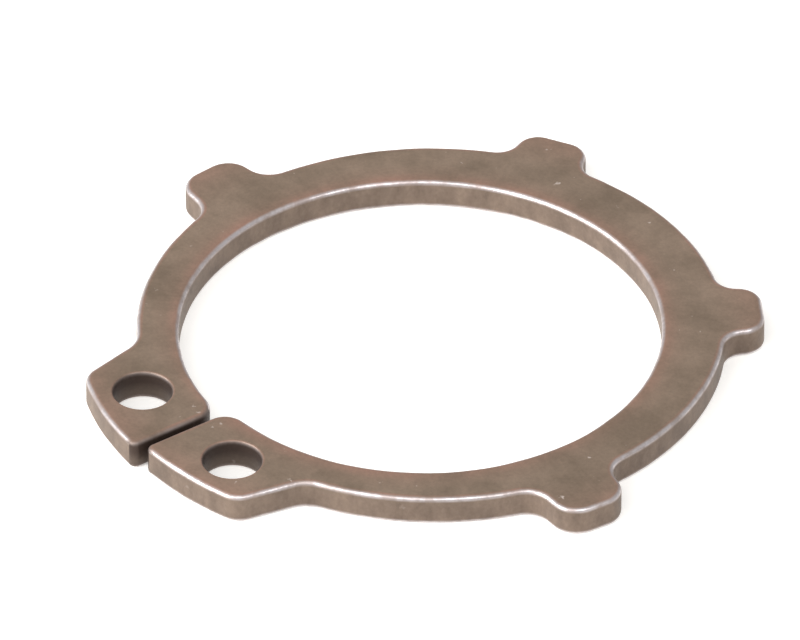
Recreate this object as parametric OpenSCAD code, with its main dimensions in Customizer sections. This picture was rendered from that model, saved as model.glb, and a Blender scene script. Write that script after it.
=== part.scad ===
// External retaining ring with four outer lugs, two plier ears and a narrow gap,
// stamped in one piece from spring-steel strip and tumbled. Millimetres.
// It lies flat: bore axis on Z, lower face on Z = 0, gap towards -Y.
// Each half is the mirror image of the other across X = 0.

/* [Ring] */
// diameter of the free bore, before the ring is spread over its shaft
bore_d = 18.5; // [17:0.1:20]
// thickness of the strip
ring_t = 1.2; // [0.8:0.1:1.6]
// radial width of the ring opposite the gap
back_w = 2.55; // [2.2:0.05:2.8]
// radial width of the ring where it runs into the ears
front_w = 1.55; // [1.3:0.05:1.8]
// radius of the tumbled edges of both faces
edge_r = 0.18; // [0.1:0.01:0.2]

/* [Gap] */
// width of the gap between the ears
gap_w = 0.5; // [0.45:0.05:0.8]
// radius of the corner between bore and gap
gap_inner_r = 0.9; // [0.6:0.05:1]
// radius of the corner between gap and ear edge
gap_outer_r = 0.3; // [0.28:0.02:0.5]

/* [Ears] */
// height of the ears' outer edge over the bore, which it runs round
ear_h = 3.95; // [3.8:0.05:4.1]
// half width of the pair of ears at their unrounded outer corners
ear_half_w = 4.95; // [4.7:0.05:5.2]
// lean of the ears' flanks, narrowing outwards, degrees
ear_lean = 11.5; // [8:0.5:14]
// radius of the ears' outer corners
ear_corner_r = 0.9; // [0.6:0.05:1]
// radius of the fillet from ear to ring
ear_fillet_r = 1.3; // [0.9:0.05:1.4]

/* [Plier holes] */
// diameter of the holes for the plier tips
hole_d = 2; // [1.8:0.05:2.2]
// height of the holes' centres over the bore
hole_h = 2.05; // [1.85:0.05:2.2]
// angle of the holes from the middle of the gap, degrees
hole_angle = 14.5; // [13:0.25:15]

/* [Lugs] */
// height of the lugs over the bore
lug_h = 3.95; // [3.6:0.05:4.3]
// width across the top of a lug before its corners are rounded
lug_w = 2.65; // [2.5:0.05:3]
// lean of a lug's flanks, narrowing outwards, degrees
lug_lean = 6.5; // [4:0.5:9]
// angle of the lugs nearer the gap, from the middle of the gap, degrees
near_lug_angle = 85.5; // [80:0.5:92]
// angle of the lugs farther from the gap, from the middle of the gap, degrees
far_lug_angle = 149.5; // [144:0.5:154]
// radius of a lug's outer corners
lug_corner_r = 1.05; // [0.8:0.05:1.1]
// radius of the fillets from lug to ring
lug_fillet_r = 1; // [0.7:0.05:1.1]

/* [Hidden] */
$fn = 96;

bore_r = bore_d / 2;
// outer circle of the ring, set off from the bore so that the ring narrows towards the ears
outer_r = bore_r + (back_w + front_w) / 2;
outer_c = [0, (back_w - front_w) / 2];
ear_r = bore_r + ear_h;
hole_pitch_r = bore_r + hole_h;
lug_r = bore_r + lug_h;
gap_x = gap_w / 2;
lug_angles = [near_lug_angle, far_lug_angle];
// where lugs are rooted in the ring's metal, and ears in the bore, which is cut after them
lug_root_r = bore_r + 2 / 3 * front_w;
ear_root_y = -0.9 * bore_r;
// a straight or hollow wall lies this much below the round it runs into, so that the two cross cleanly
bite = ring_t / 600;
// how far patches and cuts run past the walls they join
past = ring_t / 5;
// a tumbled edge is an arc a little flatter than a quarter turn of edge_r
arc_r = 1.3 * edge_r;
arc_c = (edge_r + sqrt(2 * arc_r * arc_r - edge_r * edge_r)) / 2;

function at(a) = [cos(a), sin(a)];
function angle_of(v) = atan2(v.y, v.x);
function turned(p, a) = [p.x * cos(a) - p.y * sin(a), p.x * sin(a) + p.y * cos(a)];
// where two straight walls cross, each given by its outward angle and its distance from the axis
function crossing(a, d, b, e) = [d * sin(b) - e * sin(a), e * cos(a) - d * cos(b)] / sin(b - a);
// centre of a fillet between the outer circle and a straight wall through p with outward angle a
function fillet_centre(p, a, down, r) =
    let (start = p + r * at(a) - outer_c, along = start * down, far = outer_r + r)
    start + outer_c + down * (-along - sqrt(along * along - start * start + far * far));

// right-hand ear: outward angle of its flank, then the centres of its rounds
function ear_round_c(a, d, r) = d * at(a) + sqrt(pow(ear_r - r, 2) - d * d) * at(a - 90);
ear_flank_a = -ear_lean;
ear_tip = [ear_half_w, -sqrt(ear_r * ear_r - ear_half_w * ear_half_w)];
ear_flank_d = ear_tip * at(ear_flank_a);
ear_corner_c = ear_round_c(ear_flank_a, ear_flank_d - ear_corner_r + bite, ear_corner_r - bite);
ear_corner_a = angle_of(ear_corner_c);
ear_fillet_c = fillet_centre(ear_tip, ear_flank_a, at(90 - ear_lean), ear_fillet_r - bite);
gap_outer_c = ear_round_c(0, gap_x + gap_outer_r - bite, gap_outer_r - bite);
gap_outer_a = angle_of(gap_outer_c);
gap_inner_x = gap_x + gap_inner_r - bite;
gap_inner_c = [gap_inner_x, -sqrt(pow(bore_r + gap_inner_r - bite, 2) - pow(gap_inner_x, 2))];

// right-hand lugs: drawn pointing along +Y and turned to their place,
// side 1 faces the gap and side -1 the back
function lug_turn(k) = lug_angles[k] + 180;
function lug_flank_a(side) = side > 0 ? lug_lean : 180 - lug_lean;
function lug_tip(k, side) = turned([side * lug_w / 2, lug_r], lug_turn(k));
function lug_foot(k, side, r) =
    let (a = lug_flank_a(side) + lug_turn(k))
    fillet_centre(lug_tip(k, side), a, at(a - side * 90), r);
// where the ring is wide a lug's flanks are short, and its rounds are smaller to fit them
function lug_flank_l(k) = min([for (side = [-1, 1]) norm(lug_foot(k, side, 0) - lug_tip(k, side))]);
function lug_share(k) = min(1, lug_flank_l(k) / (lug_corner_r + lug_fillet_r) / tan(45 - lug_lean / 2));
function corner_r(k) = lug_corner_r * lug_share(k);
function fillet_r(k) = lug_fillet_r * lug_share(k);
function lug_corner_c(k, side) = [
    side * (lug_w / 2 - (corner_r(k) - bite) * (1 - sin(lug_lean)) / cos(lug_lean)),
    lug_r - corner_r(k) + bite];
function lug_fillet_c(k, side) = lug_foot(k, side, fillet_r(k) - bite);

// what lies between a round and the crossing of its two walls, which face it at angles a and b
module spandrel(c, r, a, b, past = past) {
    reach = r + past;
    difference() {
        polygon([c, c + reach * at(a), c + reach * (at(a) + at(b)), c + reach * at(b)]);
        translate(c) circle(r = r);
    }
}

module plate() {
    linear_extrude(ring_t) children();
}

module through() {
    translate([0, 0, -ring_t]) linear_extrude(3 * ring_t) children();
}

// right-hand ear with its outer corner and the fillet to the ring
module ear_blank() {
    foot = crossing(ear_flank_a, ear_flank_d, 90, ear_root_y);
    out = crossing(ear_flank_a, ear_flank_d, -90, 1.1 * ear_r);
    difference() {
        intersection() {
            plate() polygon([[gap_x / 2, ear_root_y], foot, out, [gap_x / 2, out.y]]);
            through() circle(r = ear_r);
        }
        through() spandrel(ear_corner_c, ear_corner_r, ear_corner_a, ear_flank_a);
    }
    plate() spandrel(
        ear_fillet_c, ear_fillet_r,
        ear_flank_a + 180, angle_of(outer_c - ear_fillet_c));
}

// right-hand lug k with its outer corners and the fillets to the ring
module lug_blank(k) {
    foot = lug_w / 2 + (lug_r - lug_root_r) * tan(lug_lean);
    rotate(lug_turn(k))
        plate() difference() {
            polygon([
                [-foot, lug_root_r], [foot, lug_root_r],
                [lug_w / 2, lug_r], [-lug_w / 2, lug_r]]);
            for (side = [-1, 1])
                spandrel(lug_corner_c(k, side), corner_r(k), lug_flank_a(side), 90);
        }
    for (side = [-1, 1]) {
        c = lug_fillet_c(k, side);
        plate() spandrel(
            c, fillet_r(k),
            lug_flank_a(side) + lug_turn(k) + 180, angle_of(outer_c - c));
    }
}

module both_sides() {
    children();
    mirror([1, 0, 0]) children();
}

// the ring as stamped, with sharp edges
module blank() {
    difference() {
        union() {
            plate() translate(outer_c) circle(r = outer_r);
            both_sides() ear_blank();
            both_sides() lug_blank(0);
            both_sides() lug_blank(1);
        }
        through() translate([-gap_x, -2 * outer_r]) square([gap_w, 2 * outer_r]);
        through() circle(r = bore_r);
        both_sides() {
            through() spandrel(gap_inner_c, gap_inner_r, 180, angle_of(-gap_inner_c), gap_x);
            through() spandrel(gap_outer_c, gap_outer_r, 180, gap_outer_a, gap_x);
            through() rotate(hole_angle) translate([0, -hole_pitch_r]) circle(r = hole_d / 2);
        }
    }
}

// what tumbling takes off the two edges of a wall:
// the wall is on x = 0, the metal at x < 0, the faces at y = 0 and ring_t
module worn_edges() {
    for (top = [0, 1])
        translate([0, top * ring_t])
            mirror([0, 1 - top])
                difference() {
                    translate([-arc_c, -arc_c]) square(arc_c + gap_x / 2);
                    translate([-arc_c, -arc_c]) circle(r = arc_r);
                }
}

// along a straight wall from p to q, metal on the right
module worn_line(p, q) {
    translate([p.x, p.y, 0])
        rotate(angle_of(q - p))
            rotate([90, 0, 90])
                linear_extrude(norm(q - p)) worn_edges();
}

// round a corner or along the ring, metal towards the centre
module worn_round(c, r, a, b) {
    translate([c.x, c.y, 0])
        rotate(a)
            rotate_extrude(angle = b - a) translate([r, 0]) worn_edges();
}

// round a hole or in a fillet, metal away from the centre
module worn_hollow(c, r) {
    translate([c.x, c.y, 0])
        rotate_extrude() translate([r, 0]) mirror([1, 0]) worn_edges();
}

// edges of the straight walls and of the ears' outer edge
module worn_lines() {
    past_a = 180 / PI * past / ear_r;
    flank_dir = at(ear_flank_a - 90);
    worn_line([gap_x, gap_outer_c.y - past], [gap_x, gap_inner_c.y + past]);
    worn_round([0, 0], ear_r, gap_outer_a - past_a, ear_corner_a + past_a);
    worn_line(
        ear_fillet_c - (ear_fillet_r - bite) * at(ear_flank_a),
        ear_corner_c + (ear_corner_r - bite) * at(ear_flank_a) + past * flank_dir);
    for (k = [0, 1])
        rotate(lug_turn(k)) {
            worn_line([lug_corner_c(k, -1).x - past, lug_r], [lug_corner_c(k, 1).x + past, lug_r]);
            for (side = [-1, 1]) {
                n = at(lug_flank_a(side));
                down = at(lug_flank_a(side) - side * 90);
                outer = lug_corner_c(k, side) + (corner_r(k) - bite) * n - past * down;
                inner = turned(lug_fillet_c(k, side), -lug_turn(k)) - (fillet_r(k) - bite) * n;
                worn_line(side > 0 ? outer : inner, side > 0 ? inner : outer);
            }
        }
}

// edges of the rounded corners
module worn_corners() {
    worn_round(gap_inner_c, gap_inner_r, angle_of(-gap_inner_c), 180);
    worn_round(gap_outer_c, gap_outer_r, 180, gap_outer_a + 360);
    worn_round(ear_corner_c, ear_corner_r, ear_corner_a, ear_flank_a);
    for (k = [0, 1])
        rotate(lug_turn(k)) {
            worn_round(lug_corner_c(k, 1), corner_r(k), lug_flank_a(1), 90);
            worn_round(lug_corner_c(k, -1), corner_r(k), 90, lug_flank_a(-1));
        }
}

// edges of the outer circle between two fillets
module worn_arc(from, to) {
    worn_round(outer_c, outer_r, angle_of(from - outer_c), angle_of(to - outer_c));
}

// edges of the fillets and the plier holes
module worn_hollows() {
    worn_hollow(ear_fillet_c, ear_fillet_r);
    worn_hollow(turned([0, -hole_pitch_r], hole_angle), hole_d / 2);
    for (k = [0, 1], side = [-1, 1])
        worn_hollow(lug_fillet_c(k, side), fillet_r(k));
}

module retaining_ring() {
    back = lug_fillet_c(1, -1);
    color([0.45, 0.4, 0.35])
        difference() {
            difference() {
                difference() {
                    blank();
                    both_sides() worn_lines();
                    worn_arc(back, [-back.x, back.y]);
                    both_sides() worn_arc(ear_fillet_c, lug_fillet_c(0, 1));
                    both_sides() worn_arc(lug_fillet_c(0, -1), lug_fillet_c(1, 1));
                }
                both_sides() worn_corners();
            }
            worn_hollow([0, 0], bore_r);
            both_sides() worn_hollows();
        }
}

retaining_ring();
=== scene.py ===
import cmath
from math import cos, pi, radians, sin, sqrt

import bmesh
import bpy
from mathutils import Matrix, Vector, noise


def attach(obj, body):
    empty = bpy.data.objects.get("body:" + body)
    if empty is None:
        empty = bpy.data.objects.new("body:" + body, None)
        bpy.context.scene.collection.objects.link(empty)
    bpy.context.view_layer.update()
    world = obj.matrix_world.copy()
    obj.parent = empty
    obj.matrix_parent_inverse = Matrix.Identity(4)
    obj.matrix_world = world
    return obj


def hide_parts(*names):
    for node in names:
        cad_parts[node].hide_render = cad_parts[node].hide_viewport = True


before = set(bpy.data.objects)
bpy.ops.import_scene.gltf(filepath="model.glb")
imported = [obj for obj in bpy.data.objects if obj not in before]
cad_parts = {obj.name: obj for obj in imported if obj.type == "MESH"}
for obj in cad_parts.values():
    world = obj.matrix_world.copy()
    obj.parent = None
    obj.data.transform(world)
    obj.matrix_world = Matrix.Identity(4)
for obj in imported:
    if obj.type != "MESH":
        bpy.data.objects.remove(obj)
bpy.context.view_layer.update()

# The retaining ring is one stamping of spring-steel strip: an open ring with two
# plier ears, a narrow gap between them and four lugs round its rim. It was sheared
# out by a punch, hardened, tumbled until every edge was round, and phosphated.
MM = 0.001
BORE_R = 9.25
RING_T = 1.2
BACK_W = 2.55
FRONT_W = 1.55
OUTER_R = BORE_R + (BACK_W + FRONT_W) / 2
OUTER_C = 1j * (BACK_W - FRONT_W) / 2
GAP_X = 0.2
GAP_INNER_R = 0.9
GAP_OUTER_R = 0.3
EAR_R = BORE_R + 3.95
EAR_FLANK_A = -11.5
EAR_HALF_W = 4.95
EAR_CORNER_R = 0.9
EAR_FILLET_R = 1.3
HOLE_R = 1.13
HOLE_C = (BORE_R + 2.05) * cmath.exp(1j * radians(14.5 - 90))
LUG_R = BORE_R + 3.95
LUG_W = 2.65
LUG_LEAN = 6.5
# angle from the gap, corner radius and fillet radius of the far and the near lugs
LUGS = ((149.5, 0.89, 0.85), (85.5, 1.05, 1))
# the rounded edges: how far in from the wall, half of that at the holes, and how far along
# it, then the width of the band of the face beside them
EDGE_IN = 0.18
EDGE_ALONG = 0.2
RIM_BAND = 0.28
# tumbling leaves the edges worn and a little uneven, and less worn inside the holes and the gap
WOBBLE = 0.02
WOBBLE_LENGTH = 1.3
WOBBLE_SEED = 1
INSIDE_WEAR = 0.15
# the ends of the sprung ring do not lie quite opposite each other: how far the right one and
# the left one have moved, and the angle from the gap at which that begins
RIGHT_END_SET = Vector((-0.07, 0.17, 0))
LEFT_END_SET = Vector((0.05, -0.17, 0))
END_SET_FROM = 70
# steps in a rounded edge, in a corner or fillet, in an arc of the rim, along an ear's outer
# edge, half-way round the bore and round a hole, and what counts as the same place
EDGE_STEPS = 6
ROUND_STEPS = 10
RIM_STEPS = 24
EAR_STEPS = 16
BORE_STEPS = 120
HOLE_STEPS = 64
SAME_PLACE = 1e-4


def at(angle):
    return cmath.exp(1j * radians(angle))


def dot(p, q):
    return (p * q.conjugate()).real


def angle_of(p):
    return cmath.phase(p) * 180 / pi


def crossing(a, d, b, e):
    return 1j * (e * at(a) - d * at(b)) / sin(radians(b - a))


def fillet_centre(wall_point, wall_angle, down, r, outer):
    start = wall_point + r * at(wall_angle) - OUTER_C
    along = dot(start, down)
    reach = -along - sqrt(along ** 2 - abs(start) ** 2 + (outer + r) ** 2)
    return start + OUTER_C + down * reach


def ear_round(wall_angle, wall_d, reach):
    return wall_d * at(wall_angle) + sqrt(reach ** 2 - wall_d ** 2) * at(wall_angle - 90)


def run_to(bm, last, point):
    new = bmesh.ops.extrude_vert_indiv(bm, verts=[last])["verts"][0]
    new.co = (point.real, point.imag, last.co.z)
    return new


def bend(bm, last, centre, to_angle, left, steps):
    x, y = last.co.x - centre.real, last.co.y - centre.imag
    turn = (to_angle - angle_of(complex(x, y))) % 360
    if not left:
        turn -= 360
    spun = bmesh.ops.spin(
        bm, geom=[last], cent=(centre.real, centre.imag, last.co.z), axis=(0, 0, 1),
        dvec=(0, 0, 0), angle=radians(turn), steps=steps, use_duplicate=False)
    return next(g for g in spun["geom_last"] if isinstance(g, bmesh.types.BMVert))


def half_rim(bm, inset, height):
    """Right half of the ring's outline, from the back round the outside to the bore."""
    before = set(bm.edges)
    outer, bore = OUTER_R - inset, BORE_R + inset
    last = bm.verts.new((0, OUTER_C.imag + outer, height))
    for lug_angle, corner, fillet in LUGS:
        corner, fillet = corner - inset, fillet + inset
        top_a = lug_angle + 270
        back_a, front_a = top_a + 90 - LUG_LEAN, top_a - 90 + LUG_LEAN
        top_d = LUG_R - inset
        half_w = LUG_W / 2 * cos(radians(LUG_LEAN)) + LUG_R * sin(radians(LUG_LEAN)) - inset
        back_tip = crossing(back_a, half_w, top_a, top_d)
        front_tip = crossing(front_a, half_w, top_a, top_d)
        back_c = crossing(back_a, half_w - corner, top_a, top_d - corner)
        front_c = crossing(front_a, half_w - corner, top_a, top_d - corner)
        foot = fillet_centre(back_tip, back_a, at(back_a + 90), fillet, outer)
        last = bend(bm, last, OUTER_C, angle_of(foot - OUTER_C), False, RIM_STEPS)
        last = bend(bm, last, foot, back_a + 180, True, ROUND_STEPS)
        last = run_to(bm, last, back_c + corner * at(back_a))
        last = bend(bm, last, back_c, top_a, False, ROUND_STEPS)
        last = run_to(bm, last, front_c + corner * at(top_a))
        last = bend(bm, last, front_c, front_a, False, ROUND_STEPS)
        foot = fillet_centre(front_tip, front_a, at(front_a - 90), fillet, outer)
        last = run_to(bm, last, foot - fillet * at(front_a))
        last = bend(bm, last, foot, angle_of(OUTER_C - foot), True, ROUND_STEPS)
    ear = EAR_R - inset
    flank = complex(EAR_HALF_W, -sqrt(EAR_R ** 2 - EAR_HALF_W ** 2)) - inset * at(EAR_FLANK_A)
    fillet = EAR_FILLET_R + inset
    foot = fillet_centre(flank, EAR_FLANK_A, at(EAR_FLANK_A + 90), fillet, outer)
    last = bend(bm, last, OUTER_C, angle_of(foot - OUTER_C), False, RIM_STEPS)
    last = bend(bm, last, foot, EAR_FLANK_A + 180, True, ROUND_STEPS)
    r = EAR_CORNER_R - inset
    centre = ear_round(EAR_FLANK_A, dot(flank, at(EAR_FLANK_A)) - r, ear - r)
    last = run_to(bm, last, centre + r * at(EAR_FLANK_A))
    last = bend(bm, last, centre, angle_of(centre), False, ROUND_STEPS)
    r = GAP_OUTER_R - inset
    centre = ear_round(0, GAP_X + inset + r, ear - r)
    last = bend(bm, last, 0, angle_of(centre), False, EAR_STEPS)
    last = bend(bm, last, centre, 180, False, ROUND_STEPS)
    r = GAP_INNER_R - inset
    x = GAP_X + inset + r
    centre = complex(x, -sqrt((bore + r) ** 2 - x ** 2))
    last = run_to(bm, last, centre - r)
    last = bend(bm, last, centre, angle_of(-centre), False, ROUND_STEPS)
    bend(bm, last, 0, 90, True, BORE_STEPS)
    return [e for e in bm.edges if e not in before]


def hole_rim(bm, inset, height):
    ring = bmesh.ops.create_circle(
        bm, segments=HOLE_STEPS, radius=HOLE_R + inset / 2,
        matrix=Matrix.Translation((HOLE_C.real, HOLE_C.imag, height)))["verts"]
    return list(dict.fromkeys(e for v in ring for e in v.link_edges))


# each level of the section from the lower face up to the upper one: how far it lies inside
# the wall, its height, how worn it is (1 on the rounded edge), how near the rim (1 at the
# edge) and how far it has turned from face to wall (1 on the wall)
section = [(RIM_BAND, 0, 0, 0, 0)]
for i in range(EDGE_STEPS + 1):
    t = i / EDGE_STEPS * pi / 2
    section.append((
        EDGE_IN * (1 - sin(t)), EDGE_ALONG * (1 - cos(t)), sin(2 * t), 1, sin(t) ** 2))
for i in range(EDGE_STEPS + 1):
    t = i / EDGE_STEPS * pi / 2
    section.append((
        EDGE_IN * (1 - cos(t)), RING_T - EDGE_ALONG * (1 - sin(t)), sin(2 * t), 1, cos(t) ** 2))
section.append((RIM_BAND, RING_T, 0, 0, 0))

bm = bmesh.new()
worn, rim, wall, hollow = [
    bm.verts.layers.float.new(name) for name in ("worn", "rim", "wall", "hollow")]
for make in (half_rim, hole_rim):
    below = None
    for inset, height, wear, nearness, upright in section:
        edges = make(bm, inset, height)
        for v in dict.fromkeys(v for e in edges for v in e.verts):
            in_gap = v.co.y < -BORE_R and v.co.x < GAP_X + inset + GAP_OUTER_R
            inside = make is hole_rim or in_gap
            v[worn] = wear ** 2 * (INSIDE_WEAR if inside else 1)
            # the walls of the holes and the gap get a mask for their painted shade
            v[rim], v[wall], v[hollow] = nearness, upright, upright if inside else 0
        if below:
            bmesh.ops.bridge_loops(bm, edges=below + edges)
        below = edges
for height in (0, RING_T):
    flat = [
        e for e in bm.edges if e.is_boundary
        and all(abs(v.co.z - height) < SAME_PLACE and v[rim] == 0 for v in e.verts)]
    ends = [
        v for v in dict.fromkeys(v for e in flat for v in e.verts)
        if sum(e in flat for e in v.link_edges) == 1]
    flat.append(bm.edges.new(ends))
    bmesh.ops.triangle_fill(bm, use_beauty=True, edges=flat, normal=(0, 0, 1))
bmesh.ops.mirror(
    bm, geom=bm.verts[:] + bm.edges[:] + bm.faces[:], matrix=Matrix.Identity(4),
    merge_dist=SAME_PLACE, axis="X")
bmesh.ops.remove_doubles(bm, verts=bm.verts, dist=SAME_PLACE)
bmesh.ops.recalc_face_normals(bm, faces=bm.faces)
noise.seed_set(WOBBLE_SEED)
for v in bm.verts:
    from_gap = abs(angle_of(complex(-v.co.y, v.co.x)))
    bent = max(0, 1 - from_gap / END_SET_FROM)
    v.co += (RIGHT_END_SET if v.co.x > 0 else LEFT_END_SET) * bent ** 2 * (3 - 2 * bent)
    v.co += noise.noise_vector(v.co / WOBBLE_LENGTH) * WOBBLE * v[worn]
bmesh.ops.scale(bm, vec=(MM, MM, MM), verts=bm.verts)
for f in bm.faces:
    f.smooth = True
mesh = bpy.data.meshes.new("retaining_ring_steel")
bm.to_mesh(mesh)
bm.free()
ring = bpy.data.objects.new("retaining_ring_steel", mesh)
bpy.context.scene.collection.objects.link(ring)


def add(tree, kind, inputs=None, **settings):
    new = tree.nodes.new(kind)
    for name, value in settings.items():
        setattr(new, name, value)
    for name, value in (inputs or {}).items():
        if isinstance(value, bpy.types.NodeSocket):
            tree.links.new(value, new.inputs[name])
        else:
            new.inputs[name].default_value = value
    return new


def colour(hex_value):
    channels = [int(hex_value[i:i + 2], 16) / 255 for i in (1, 3, 5)]
    return [c / 12.92 if c <= 0.04045 else ((c + 0.055) / 1.055) ** 2.4 for c in channels] + [1]


def ramp(tree, value, stops):
    new = add(tree, "ShaderNodeValToRGB", {"Fac": value})
    first, last = new.color_ramp.elements
    first.position, first.color = stops[0]
    last.position, last.color = stops[-1]
    for position, tint in stops[1:-1]:
        new.color_ramp.elements.new(position).color = tint
    return new.outputs[0]


def mix(tree, factor, under, over, **settings):
    return add(
        tree, "ShaderNodeMix", {"Factor": factor, 6: under, 7: over},
        data_type="RGBA", **settings).outputs[2]


# Phosphated and oiled spring steel: a thin matt brown-grey crystal coat that lets the metal
# shine through. It is worn to bare steel on the rounded edges and warmer in tone along the
# rims. The walls of the holes and the gap carry painted shade: darker, most of all near the
# upper face.
CLOUD_MM = 2.2
GRAIN_MM = 0.14
STREAK_MM = 0.8
FLECK_MM = 0.45
steel = bpy.data.materials.new("phosphated_spring_steel")
steel.use_nodes = True
tree = steel.node_tree
tree.nodes.clear()
place = add(tree, "ShaderNodeTexCoord").outputs["Object"]
in_mm = add(tree, "ShaderNodeMapping", {"Vector": place, "Scale": (1000, 1000, 1000)}).outputs[0]
on = {
    name: add(tree, "ShaderNodeAttribute", attribute_name=name).outputs["Fac"]
    for name in ("worn", "rim", "wall", "hollow")}
clouds = add(tree, "ShaderNodeTexNoise", {
    "Vector": in_mm, "Scale": 1 / CLOUD_MM, "Detail": 4, "Roughness": 0.6}).outputs["Fac"]
grain = add(tree, "ShaderNodeTexNoise", {
    "Vector": in_mm, "Scale": 1 / GRAIN_MM, "Detail": 3, "Roughness": 0.6}).outputs["Fac"]
coat = ramp(tree, clouds, ((0.34, colour("#766656")), (0.66, colour("#8b7a69"))))
in_plane = add(tree, "ShaderNodeMapping", {"Vector": place, "Scale": (1000, 1000, 0)}).outputs[0]
radius = add(tree, "ShaderNodeVectorMath", {0: in_plane}, operation="LENGTH").outputs["Value"]
across = add(tree, "ShaderNodeMapRange", {
    "Value": radius, "From Min": BORE_R, "From Max": LUG_R}).outputs[0]
warmth = ramp(tree, across, [(share, (tint, tint, tint, 1)) for share, tint in (
    (0, 0.8), (0.16, 0.2), (0.3, 0.08), (0.5, 0.08), (0.7, 0.18), (1, 0.45))])
patches = add(tree, "ShaderNodeMapRange", {
    "Value": clouds, "From Min": 0.35, "From Max": 0.65, "To Min": 0.3, "To Max": 1})
border = add(tree, "ShaderNodeMapRange", {"Value": on["rim"], "To Max": 0.6})
warm = add(tree, "ShaderNodeMath", {
    0: warmth, 1: border.outputs[0]}, operation="MAXIMUM").outputs[0]
warm = add(tree, "ShaderNodeMath", {
    0: warm, 1: patches.outputs[0]}, operation="MULTIPLY").outputs[0]
tone = mix(tree, warm, coat, colour("#a07566"))
along_wall = add(tree, "ShaderNodeMapping", {"Vector": in_mm, "Scale": (1.5, 1.5, 0.8)}).outputs[0]
shear = add(tree, "ShaderNodeTexNoise", {
    "Vector": along_wall, "Scale": 1, "Detail": 4, "Roughness": 0.65}).outputs["Fac"]
sheared = ramp(tree, shear, ((0.32, colour("#65564b")), (0.68, colour("#7c6b5e"))))
tone = mix(tree, on["wall"], tone, sheared)
# Painted shade: the walls of the holes and the gap are darker, most near the upper face and
# lighter near the lower face.
height_mm = add(tree, "ShaderNodeSeparateXYZ", {"Vector": in_mm}).outputs["Z"]
painted_recess_shade = ramp(tree, height_mm, ((0.3, colour("#594c43")), (0.75, colour("#3d2f28"))))
tone = mix(tree, on["hollow"], tone, painted_recess_shade)
tone = mix(tree, 0.2, tone, grain, blend_type="OVERLAY")
streaks = add(tree, "ShaderNodeTexNoise", {
    "Vector": in_mm, "Scale": 1 / STREAK_MM, "Detail": 3, "Roughness": 0.7}).outputs["Fac"]
bare = add(tree, "ShaderNodeMapRange", {
    "Value": streaks, "From Min": 0.38, "From Max": 0.62, "To Min": 0.45, "To Max": 1})
bare = add(tree, "ShaderNodeMath", {
    0: on["worn"], 1: bare.outputs[0]}, operation="MULTIPLY").outputs[0]
tone = mix(tree, bare, tone, colour("#d2ccce"))
dust = add(tree, "ShaderNodeTexNoise", {
    "Vector": in_mm, "Scale": 1 / FLECK_MM, "Detail": 2, "Roughness": 0.6}).outputs["Fac"]
on_face = add(tree, "ShaderNodeMapRange", {
    "Value": on["wall"], "To Min": 0.8, "To Max": 0.1}).outputs[0]
specks = add(tree, "ShaderNodeMapRange", {
    "Value": dust, "From Min": 0.72, "From Max": 0.8, "To Max": on_face}).outputs[0]
tone = mix(tree, specks, tone, colour("#d6c8c0"))
gloss = add(tree, "ShaderNodeMapRange", {"Value": bare, "To Min": 0.5, "To Max": 0.3})
metal = add(tree, "ShaderNodeMapRange", {"Value": bare, "To Min": 0.5, "To Max": 1})
bumps = add(tree, "ShaderNodeBump", {
    "Strength": 0.35, "Distance": 0.02 * MM, "Height": grain})
shader = add(tree, "ShaderNodeBsdfPrincipled", {
    "Base Color": tone, "Metallic": metal.outputs[0],
    "Roughness": gloss.outputs[0], "Normal": bumps.outputs[0]})
add(tree, "ShaderNodeOutputMaterial", {"Surface": shader.outputs[0]})
mesh.materials.append(steel)
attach(ring, "root")
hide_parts("retaining_ring")

# The ring lies on a sheet of white paper. The camera and the metal see the sheet as plain
# white, and it keeps the ring's soft contact shadow.
SHEET_DROP = 0.02
SHEET_GLOW = 0.3
floor_bm = bmesh.new()
bmesh.ops.create_grid(
    floor_bm, x_segments=1, y_segments=1, size=2,
    matrix=Matrix.Translation((0, 0, -SHEET_DROP * MM)))
floor_mesh = bpy.data.meshes.new("white_sheet")
floor_bm.to_mesh(floor_mesh)
floor_bm.free()
sheet = bpy.data.objects.new("white_sheet", floor_mesh)
bpy.context.scene.collection.objects.link(sheet)
paper = bpy.data.materials.new("white_paper")
paper.use_nodes = True
tree = paper.node_tree
tree.nodes.clear()
path = add(tree, "ShaderNodeLightPath")
seen = add(tree, "ShaderNodeMath", {
    0: path.outputs["Is Camera Ray"], 1: path.outputs["Is Glossy Ray"]}, operation="MAXIMUM")
seen = add(tree, "ShaderNodeMath", {
    0: seen.outputs[0], 1: path.outputs["Is Transmission Ray"]}, operation="MAXIMUM")
glow = add(tree, "ShaderNodeMath", {0: seen.outputs[0], 1: SHEET_GLOW}, operation="MULTIPLY")
lit = add(tree, "ShaderNodeBsdfDiffuse", {"Color": colour("#f4f2ee")})
white = add(tree, "ShaderNodeEmission", {"Strength": glow.outputs[0]})
both = add(tree, "ShaderNodeAddShader", {0: lit.outputs[0], 1: white.outputs[0]})
add(tree, "ShaderNodeOutputMaterial", {"Surface": both.outputs[0]})
floor_mesh.materials.append(paper)

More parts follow.
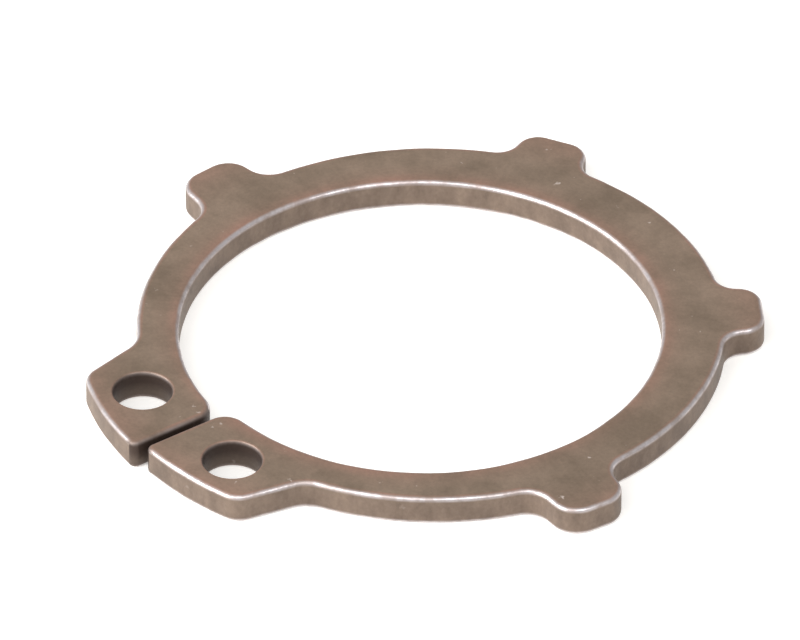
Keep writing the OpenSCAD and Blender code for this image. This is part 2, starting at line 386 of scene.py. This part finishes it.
# The camera looks down on the ring from the side of its gap, from so far off
# that the view is almost without perspective.
AZIMUTH, ELEVATION = 54.653, 36.908
CAMERA_D = 768.8
AIM_RIGHT, AIM_AWAY = -0.8125, 0.3397
FOCAL_PX, IMAGE_W, SENSOR = 20000, 800, 36
right = Vector((cos(radians(AZIMUTH)), sin(radians(AZIMUTH)), 0))
away = Vector((-sin(radians(AZIMUTH)), cos(radians(AZIMUTH)), 0))
up = Vector((0, 0, 1))
aim = AIM_RIGHT * right + AIM_AWAY * away + RING_T * up
forward = cos(radians(ELEVATION)) * away - sin(radians(ELEVATION)) * up
camera_up = right.cross(forward)
camera = bpy.data.objects.new("camera", bpy.data.cameras.new("camera"))
bpy.context.scene.collection.objects.link(camera)
turn = Matrix((right, camera_up, -forward)).transposed().to_4x4()
camera.matrix_world = Matrix.Translation((aim - CAMERA_D * forward) * MM) @ turn
camera.data.sensor_width = SENSOR
camera.data.lens = FOCAL_PX * SENSOR / IMAGE_W
camera.data.clip_start = 0.01
camera.data.clip_end = 10
bpy.context.scene.camera = camera


# Soft studio light: a wide box overhead on the camera's side, a small one low on the left,
# and a grey room.
def softbox(name, towards, distance, width, height, power):
    lamp = bpy.data.objects.new(name, bpy.data.lights.new(name, "AREA"))
    lamp.data.shape = "RECTANGLE"
    lamp.data.size, lamp.data.size_y = width, height
    lamp.data.energy = power
    facing = towards.normalized().to_track_quat("Z", "Y").to_matrix().to_4x4()
    lamp.matrix_world = Matrix.Translation(towards.normalized() * distance) @ facing
    bpy.context.scene.collection.objects.link(lamp)


softbox(
    "overhead_box", 0.8 * up - 0.6 * away, distance=0.6, width=1.0, height=0.3, power=2.75)
softbox(
    "left_box", 0.4 * up - 0.85 * right - 0.3 * away,
    distance=0.5, width=0.5, height=0.3, power=3.5)
world = bpy.data.worlds.new("room")
bpy.context.scene.world = world
world.use_nodes = True
world.node_tree.nodes["Background"].inputs["Color"].default_value = colour("#ffffff")
world.node_tree.nodes["Background"].inputs["Strength"].default_value = 0.6
bpy.context.scene.view_settings.view_transform = "Standard"
